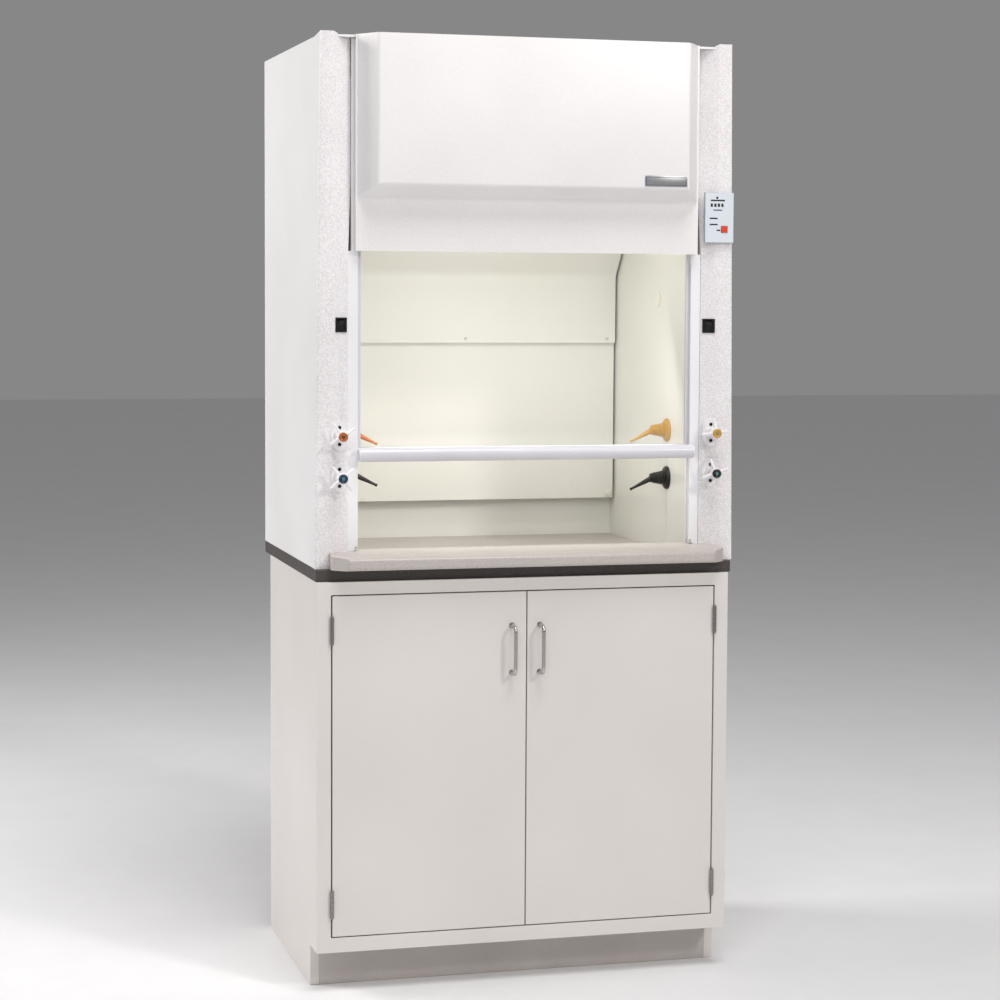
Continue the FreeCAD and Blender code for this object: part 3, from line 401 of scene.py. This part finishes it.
# More of the pane is seen, as reflection, the flatter it is looked at.
edge_on = add(tree, "ShaderNodeLayerWeight", {"Blend": 0.5})
seen = add(tree, "ShaderNodeMapRange", {"Value": edge_on.outputs["Facing"], "From Min": 0.5, "From Max": 1.0,
                                        "To Min": 0.04, "To Max": 0.6})
surface = add(tree, "ShaderNodeBsdfPrincipled", {"Base Color": linear("#DDE6E0"), "Roughness": 0.03,
                                                 "IOR": 1.5, "Alpha": seen.outputs["Result"]})
add(tree, "ShaderNodeOutputMaterial", {"Surface": surface.outputs["BSDF"]})
glass.surface_render_method = "BLENDED"
dress(glass, "sash_glass")

# ---------------------------------------------------------------------------------------
# Counterbalance behind the posts: weights, pulleys, hangers and cables.
# Primed steel bars, nylon wheels on steel axles, and stranded wire rope.
# ---------------------------------------------------------------------------------------

primer = finish("steel_primed_grey", "#66676A", "#56575A", 0.6, 1.5, 0.08, IOR=1.5)
rounded("counterweights", primer, 1.0)
dress(nylon, "pulley_left", "pulley_right")
bright_steel = brushed("steel_bright_drawn", "#B9BABD", "#8E9094", 0.34, "Z", 0.5)
dress(bright_steel, "pulley_hangers")
rope = brushed("steel_wire_rope", "#8B8C90", "#4F5053", 0.4, "X", 0.9)
dress(rope, "sash_cables")

# ---------------------------------------------------------------------------------------
# Rocker switches on the posts.
# Snap-in black nylon bodies with satin rockers, unmarked.
# ---------------------------------------------------------------------------------------

switch_black = finish("nylon_moulded_black", "#0B0B0C", "#070708", 0.5, 0.9, 0.04, IOR=1.4)
rounded("switch_bezels", switch_black, 0.6)
rocker_black = finish("polycarbonate_satin_black", "#121214", "#0C0C0E", 0.42, 0.9, 0.02, IOR=1.42)
for side in ("left", "right"):
    rounded("rocker_" + side, rocker_black, 0.5)

# ---------------------------------------------------------------------------------------
# Air-flow alarm on the right post.
# A shallow grey moulded case behind a pale film printed with plain black bars, blocks and a dot, no
# wording, and a red mute button.
# ---------------------------------------------------------------------------------------

case_grey = finish("abs_moulded_pale_grey", "#B3B9C2", "#A6ACB6", 0.5, 1.2, 0.05, IOR=1.53)
rounded("alarm_housing", case_grey, 0.7)
film = finish("polyester_film_pale_blue", "#DEE6EC", "#D3DCE4", 0.36, 1.8, 0.02, IOR=1.57)
rounded("alarm_face", film, 0.3)
ink = finish("screen_ink_black", "#1A1C20", "#131418", 0.45, 1.0, 0.01)
low, high = [corner * 1000 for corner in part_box("alarm_face")]
marks = bmesh.new()
# Each row: x and z of a bar's corner from the middle of the face, then its width and height, in mm.
BARS = [(-20, 35, 32, 3.2), (-20, 23, 5, 7), (-12, 23, 5, 7), (-4, 23, 5, 7), (4, 23, 5, 7),
        (-14, 15, 20, 2.2), (-22, -3, 18, 3.0), (-22, -16, 18, 3.0), (-6, -28, 8, 2.8)]
BAR_RISE, BAR_DEPTH = 0.25, 0.4       # how far a bar stands out of the film and reaches into it
mid_x, mid_z = (low.x + high.x) / 2, (low.z + high.z) / 2
for x, z, wide, tall in BARS:
    left, foot = mid_x + x, mid_z + z
    block(marks, (left, low.y - BAR_RISE, foot), (left + wide, low.y + BAR_DEPTH, foot + tall), 0, 0.12)
DOT = [(-2.0, 0), (-2.0, 2.2), (0.2, 2.2), (0.5, 1.6), (0.5, 0)]
DOT_X, DOT_Z = 411, 1660
lathe(marks, DOT, (DOT_X, low.y, DOT_Z), (0, -1, 0))
piece("alarm_marks", marks, "frame", [ink])
red = finish("abs_moulded_red", "#DE4A34", "#CF3D2A", 0.32, 1.2, 0.03, IOR=1.53)
rounded("alarm_button", red, 0.6)

# ---------------------------------------------------------------------------------------
# Service valves: escutcheons, four-arm handles with index buttons, and their black screws.
# Escutcheon and handle are white acetal mouldings; the button in the hub is a glossy snap-in disc in
# the service's colour.  The stem turns the needle valve behind the post.
# ---------------------------------------------------------------------------------------

acetal = finish("acetal_moulded_white", "#F5F3F4", "#EAE7E9", 0.38, 1.1, 0.03, Coat_Weight=0.15, IOR=1.48)
rounded("valve_escutcheons", acetal, 0.9)
VALVE_X, UPPER_Z, LOWER_Z = 405.0, 1160, 1074
POST_FACE = -274.5                              # front face of the posts, along y
HUB_BACK, HUB_FRONT = -18.5 + POST_FACE, -40.0 + POST_FACE
ARM_REACH, ARM_HALF, HUB_R = 32.4, 3.2, 11.6    # length and half width of an arm, radius of the hub
ARM_THICK_HALF, HUB_THICK_MORE = 3.7, 3.6       # half thickness of an arm, and what the hub adds to it
HUB_FADE = 12.5                                 # radius where the hub's crown has died away by half
ARM_Y, HUB_FORWARD = -31.5, 2.2                 # middle of the arms from the post; the hub sits further out
BEND, BEND_START = 0.004, 8                     # the arms curve back towards the post from this radius
STEM = [(-54.5, 0), (-54.5, 4.9), (-1.0, 4.9), (-1.0, 8.8), (0, 9.8), (7, 10.6), (10, 0)]


def outline(angle):
    """Distance of the handle's edge from its axis: a round hub flowing into four arms."""
    arms = [((abs(math.cos(angle - turn)) / ARM_REACH) ** 4 + (abs(math.sin(angle - turn)) / ARM_HALF) ** 4)
            ** -0.25 for turn in (0, math.pi / 2)]
    return sum(r ** 5 for r in arms + [HUB_R]) ** 0.2


def handle_shape(x, z, turn):
    """Four-arm handle: a crowned star swept over its outline, with the stem behind it."""
    shape = bmesh.new()
    around, rings = 120, 13
    middle = mm(x, 0, z)
    grids = []
    for face_side in (-1, 1):
        grid = []
        for ring in range(rings + 1):
            row = []
            share = math.sin(math.pi / 2 * ring / rings)
            for k in range(around):
                angle = 2 * math.pi * k / around
                r = outline(angle) * share
                hub = 1 / (1 + (r / HUB_FADE) ** 6)
                half = (ARM_THICK_HALF + HUB_THICK_MORE * hub) * max(0.0, 1 - share ** 3.2) ** 0.5
                bend = BEND * max(r - BEND_START, 0) ** 2
                y = ARM_Y - HUB_FORWARD * hub + bend + face_side * half + POST_FACE
                a = angle + math.radians(turn)
                row.append(Vector((r * math.cos(a), y, r * math.sin(a))) / 1000 + middle)
            grid.append(row)
        grids.append(grid)
    rim = [shape.verts.new(p) for p in grids[0][rings]]
    for grid in grids:
        centre = shape.verts.new(grid[0][0])
        rows = [[shape.verts.new(p) for p in row] for row in grid[1:rings]] + [rim]
        for k in range(around):
            n = (k + 1) % around
            shape.faces.new((centre, rows[0][k], rows[0][n]))
            for inner, outer in zip(rows, rows[1:]):
                shape.faces.new((inner[k], outer[k], outer[n], inner[n]))
    lathe(shape, STEM, (x, HUB_BACK, z), (0, -1, 0), steps=40)
    return shape


DISC = [(-1.5, 0), (-1.5, 9.2), (2.2, 9.9), (3.4, 9.6), (4.2, 8.7), (4.3, 7.4), (3.7, 6.6), (3.8, 3.4)]
PIP = [(3.8, 3.4), (4.4, 2.9), (4.5, 0)]


def button_shape(x, z):
    """Index button: domed disc with a rolled rim and a small pip of its own colour."""
    shape = bmesh.new()
    for material, profile in enumerate((DISC, PIP)):
        lathe(shape, profile, (x, HUB_FRONT, z), (0, -1, 0), material)
    bmesh.ops.remove_doubles(shape, verts=shape.verts, dist=0.000001)
    return shape


# Each row: place, side, height, how far the handle is turned, the disc's two tones and its pip.
for place_name, side, z, turn, light, dark, pip in (
        ("upper_left", -1, UPPER_Z, 33, "#B96630", "#9C5222", "#5A3A26"),
        ("lower_left", -1, LOWER_Z, 40, "#143149", "#0C2236", "#4E7A8C"),
        ("upper_right", 1, UPPER_Z, 5, "#D3A445", "#BD8F36", "#8C8468"),
        ("lower_right", 1, LOWER_Z, 18, "#101214", "#090A0B", "#5E8484")):
    node = "valve_handle_" + place_name
    body = "valve_" + place_name
    piece(node + "_moulded", handle_shape(side * VALVE_X, z, turn), body, [acetal], [node], 60)
    # Snap-in index disc: glossy dyed polystyrene.
    disc = finish("polystyrene_index_" + place_name, light, dark, 0.2, 3.0, 0.02, IOR=1.59)
    mark = finish("polystyrene_pip_" + place_name, pip, pip, 0.3, 3.0, 0.01, IOR=1.59)
    piece("index_button_" + place_name, button_shape(side * VALVE_X, z), body, [disc, mark])

# Black-oxided steel screws hold the valves; the ones on the baffle and tracks are painted white.
oxide = finish("steel_screw_black_oxide", "#2A2624", "#1C1917", 0.45, 0.8, 0.02, Metallic=0.7)
screw_paint = finish("steel_screw_painted", "#D9D6CC", "#C4C0B5", 0.4, 0.8, 0.02, IOR=1.5)
SCREW = [(-4, 0), (-4, 1.9), (0, 1.9), (0, 3.6), (1.1, 3.5), (1.9, 2.7), (2.2, 1.6), (1.4, 1.3), (0.9, 0)]
SCREW_RISE, ESCUTCHEON_Y = 17.5, -276.5                  # the valves' screws
TRACK_X, TRACK_Y, TRACK_Z = 366, -258.5, 927.5           # the tracks' foot screws
BAFFLE_Y, BAFFLE_Z = 277.5, 1352                         # the row of screws on the baffle
dark_screws, pale_screws = bmesh.new(), bmesh.new()
for side in (-1, 1):
    for z in (UPPER_Z, LOWER_Z):
        for rise in (-SCREW_RISE, SCREW_RISE):
            lathe(dark_screws, SCREW, (side * VALVE_X, ESCUTCHEON_Y, z + rise), (0, -1, 0), steps=24)
    lathe(pale_screws, SCREW, (side * TRACK_X, TRACK_Y, TRACK_Z), (0, -1, 0), steps=24)
for x in (-346, 3, 346):
    lathe(pale_screws, SCREW, (x, BAFFLE_Y, BAFFLE_Z), (0, -1, 0), steps=24)
piece("valve_screws", dark_screws, "frame", [oxide], ["screws"])
piece("panel_screws", pale_screws, "frame", [screw_paint])

# ---------------------------------------------------------------------------------------
# Deck with its sill.
# Cast modified-resin composite, warm grey with fine pale and dark grit, ground to a satin face and
# rounded at the sill.  It lies loose on the slab.
# ---------------------------------------------------------------------------------------


def composite(name, base, pale, dark, roughness, grit_mm):
    """Cast composite: one resin colour with pale and dark grit of a real size."""
    material = bpy.data.materials.new(name)
    material.use_nodes = True
    tree = material.node_tree
    tree.nodes.clear()
    place = add(tree, "ShaderNodeTexCoord").outputs["Object"]
    grit = add(tree, "ShaderNodeTexNoise", {"Vector": place, "Scale": 1000 / grit_mm, "Detail": 2.0})
    tone = add(tree, "ShaderNodeValToRGB", {"Fac": grit.outputs["Fac"]})
    ramp = tone.color_ramp.elements
    ramp[0].position, ramp[0].color = 0.33, linear(dark)
    ramp[1].position, ramp[1].color = 0.68, linear(pale)
    for position in (0.43, 0.58):
        ramp.new(position).color = linear(base)
    cloud = add(tree, "ShaderNodeTexNoise", {"Vector": place, "Scale": 7.0, "Detail": 2.0})
    rough = add(tree, "ShaderNodeMapRange", {"Value": cloud.outputs["Fac"], "To Min": roughness - 0.08,
                                             "To Max": roughness + 0.08})
    bump = add(tree, "ShaderNodeBump", {"Height": grit.outputs["Fac"], "Strength": 0.6, "Distance": 0.00008})
    surface = add(tree, "ShaderNodeBsdfPrincipled",
                  {"Base Color": tone.outputs["Color"], "Roughness": rough.outputs["Result"], "IOR": 1.54,
                   "Normal": bump.outputs["Normal"]})
    add(tree, "ShaderNodeOutputMaterial", {"Surface": surface.outputs["BSDF"]})
    return material


# The grit is finer than a millimetre; it is drawn at 2.4 mm so that it shows.
deck_resin = composite("resin_composite_warm_grey", "#BFB8B3", "#CCC5C0", "#ADA6A1", 0.34, 2.4)
rounded("deck", deck_resin, 1.5)

# ---------------------------------------------------------------------------------------
# Worktop slab between hood and cabinet.
# The same kind of casting in grey-brown, sawn square with eased edges; its tones are drawn darker than that
# grey-brown all over, as painted shade for the shadow under the sill.
# ---------------------------------------------------------------------------------------

# Painted shade: these tones are darker than the slab's own grey-brown, so that its front reads as the shadow
# under the overhanging sill.
slab_resin_painted_shade = composite("resin_composite_grey_brown_painted_shade", "#3E3835", "#5C5653", "#423D3A", 0.5, 2.4)
rounded("worktop", slab_resin_painted_shade, 0.8)

# ---------------------------------------------------------------------------------------
# Base cabinet: walls, back, floor, rails, shelf, front frame and two doors.
# Folded sheet steel, spot welded and powder coated a warm light grey; the coat has a fine orange
# peel and closes the seams.
# ---------------------------------------------------------------------------------------

cabinet_coat = finish("steel_powder_coat_warm_grey", "#E3DEDA", "#DAD5D1", 0.4, 1.8, 0.07, wave_mm=350.0,
                      mottle=0.5, Coat_Weight=0.15, Coat_Roughness=0.3, IOR=1.5)
for board_node in ("cabinet_sides", "face_frame", "door_left", "door_right"):
    rounded(board_node, cabinet_coat, 0.9)
for board_node in ("cabinet_back", "cabinet_floor", "cabinet_shelf"):
    rounded(board_node, cabinet_coat, 0.6)
# The recessed toe board and the hidden rails have the same coat in a greyer, blotchier tone, which is painted
# shade for the recessed toe space.
toe_coat_painted_shade = finish("steel_powder_coat_grey_painted_shade", "#C8C2BE", "#B9B2AE", 0.5, 2.4, 0.07, wave_mm=120.0,
                  mottle=0.6, IOR=1.5)
rounded("cabinet_rails", toe_coat_painted_shade, 0.6)

# ---------------------------------------------------------------------------------------
# Door pulls, hinges, catches and shelf clips.
# The pulls are bent steel rod with a satin chrome plate; the five-knuckle hinges are drawn stainless, the
# catches and clips zinc plated.
# ---------------------------------------------------------------------------------------

chrome = brushed("steel_chrome_satin", "#C9C4C2", "#B3AEAC", 0.26, "Z", 0.4)
dress(chrome, "door_pull_left", "door_pull_right")
hinge_steel = brushed("steel_hinge_satin", "#AAA6A3", "#77736F", 0.3, "Z", 0.6)
dress(hinge_steel, "hinge_fixed", "hinge_leaves_left", "hinge_leaves_right")
dress(bright_steel, "cabinet_fittings")

# ---------------------------------------------------------------------------------------
# Room: a plain pale floor, soft studio lights and the camera.
# The key light stands high in front on the right and a weak one in front on the left; one behind on
# the left lights the left wall, a broad one hangs overhead.  Two small ones light the chamber: one in
# place of its lamp, one just behind the pane.
# ---------------------------------------------------------------------------------------

FLOOR_HALF, FLOOR_DROP = 30.0, 0.0005       # half its width and its gap below the toe board, in metres
floor_shape = bmesh.new()
bmesh.ops.create_grid(floor_shape, x_segments=2, y_segments=2, size=FLOOR_HALF)
floor_mesh = bpy.data.meshes.new("floor")
floor_shape.to_mesh(floor_mesh)
floor_shape.free()
floor = bpy.data.objects.new("floor", floor_mesh)
floor.location.z = -FLOOR_DROP
bpy.context.scene.collection.objects.link(floor)
floor_mesh.materials.append(finish("floor_pale_matt", "#F0F0F1", "#EDEDEE", 0.85, 60.0, 0.0))

world = bpy.data.worlds.new("studio")
world.use_nodes = True
world.node_tree.nodes["Background"].inputs["Color"].default_value = linear("#F4F3F4")
world.node_tree.nodes["Background"].inputs["Strength"].default_value = 0.27
bpy.context.scene.world = world
bpy.context.scene.view_settings.view_transform = "Standard"


def softbox(name, at, target, wide, tall, watts, tint):
    """Rectangular soft light that faces a point; places and sizes are in metres."""
    light = bpy.data.lights.new(name, "AREA")
    light.shape = "RECTANGLE"
    light.size, light.size_y = wide, tall
    light.energy = watts
    light.color = linear(tint)[:3]
    lamp = bpy.data.objects.new(name, light)
    aim = (Vector(target) - Vector(at)).to_track_quat("-Z", "Y")
    lamp.matrix_world = Matrix.Translation(at) @ aim.to_matrix().to_4x4()
    bpy.context.scene.collection.objects.link(lamp)


softbox("key", (2.85, -4.9, 4.2), (0, 0, 0.8), 0.7, 0.7, 97, "#FFFAF5")
softbox("front", (-2.1, -4.1, 2.6), (0, 0, 0.9), 1.2, 1.2, 22, "#FBFBFF")
softbox("side", (-3.7, 1.5, 2.7), (-0.4, 0.1, 1.5), 1.8, 1.8, 112, "#FFFCFB")
softbox("top", (0.3, -2.4, 6.0), (0, -1.0, 0), 2.4, 2.4, 168, "#FFFFFF")
softbox("chamber", (0, -0.12, 1.69), (0, 0.0, 1.0), 0.55, 0.06, 1.1, "#FFFBF2")
softbox("opening", (0, -0.21, 1.22), (0, 0.9, 0.6), 0.66, 0.4, 1.0, "#FFFDF8")

EYE = (-1.37169, -5.11945, 1.43661)            # metres
YAW, PITCH, ROLL = 15.1225, 4.0045, 0.2972     # degrees: turned right, tipped down, leaned
SENSOR_MM, LENS_MM, SHIFT = 36.0, 86.385, -0.03
view = bpy.data.cameras.new("camera")
view.sensor_width = SENSOR_MM
view.lens = LENS_MM
view.shift_y = SHIFT
camera = bpy.data.objects.new("camera", view)
camera.matrix_world = (Matrix.Translation(EYE)
                       @ Matrix.Rotation(math.radians(-YAW), 4, "Z")
                       @ Matrix.Rotation(math.radians(90 - PITCH), 4, "X")
                       @ Matrix.Rotation(math.radians(ROLL), 4, "Z"))
bpy.context.scene.collection.objects.link(camera)
bpy.context.scene.camera = camera
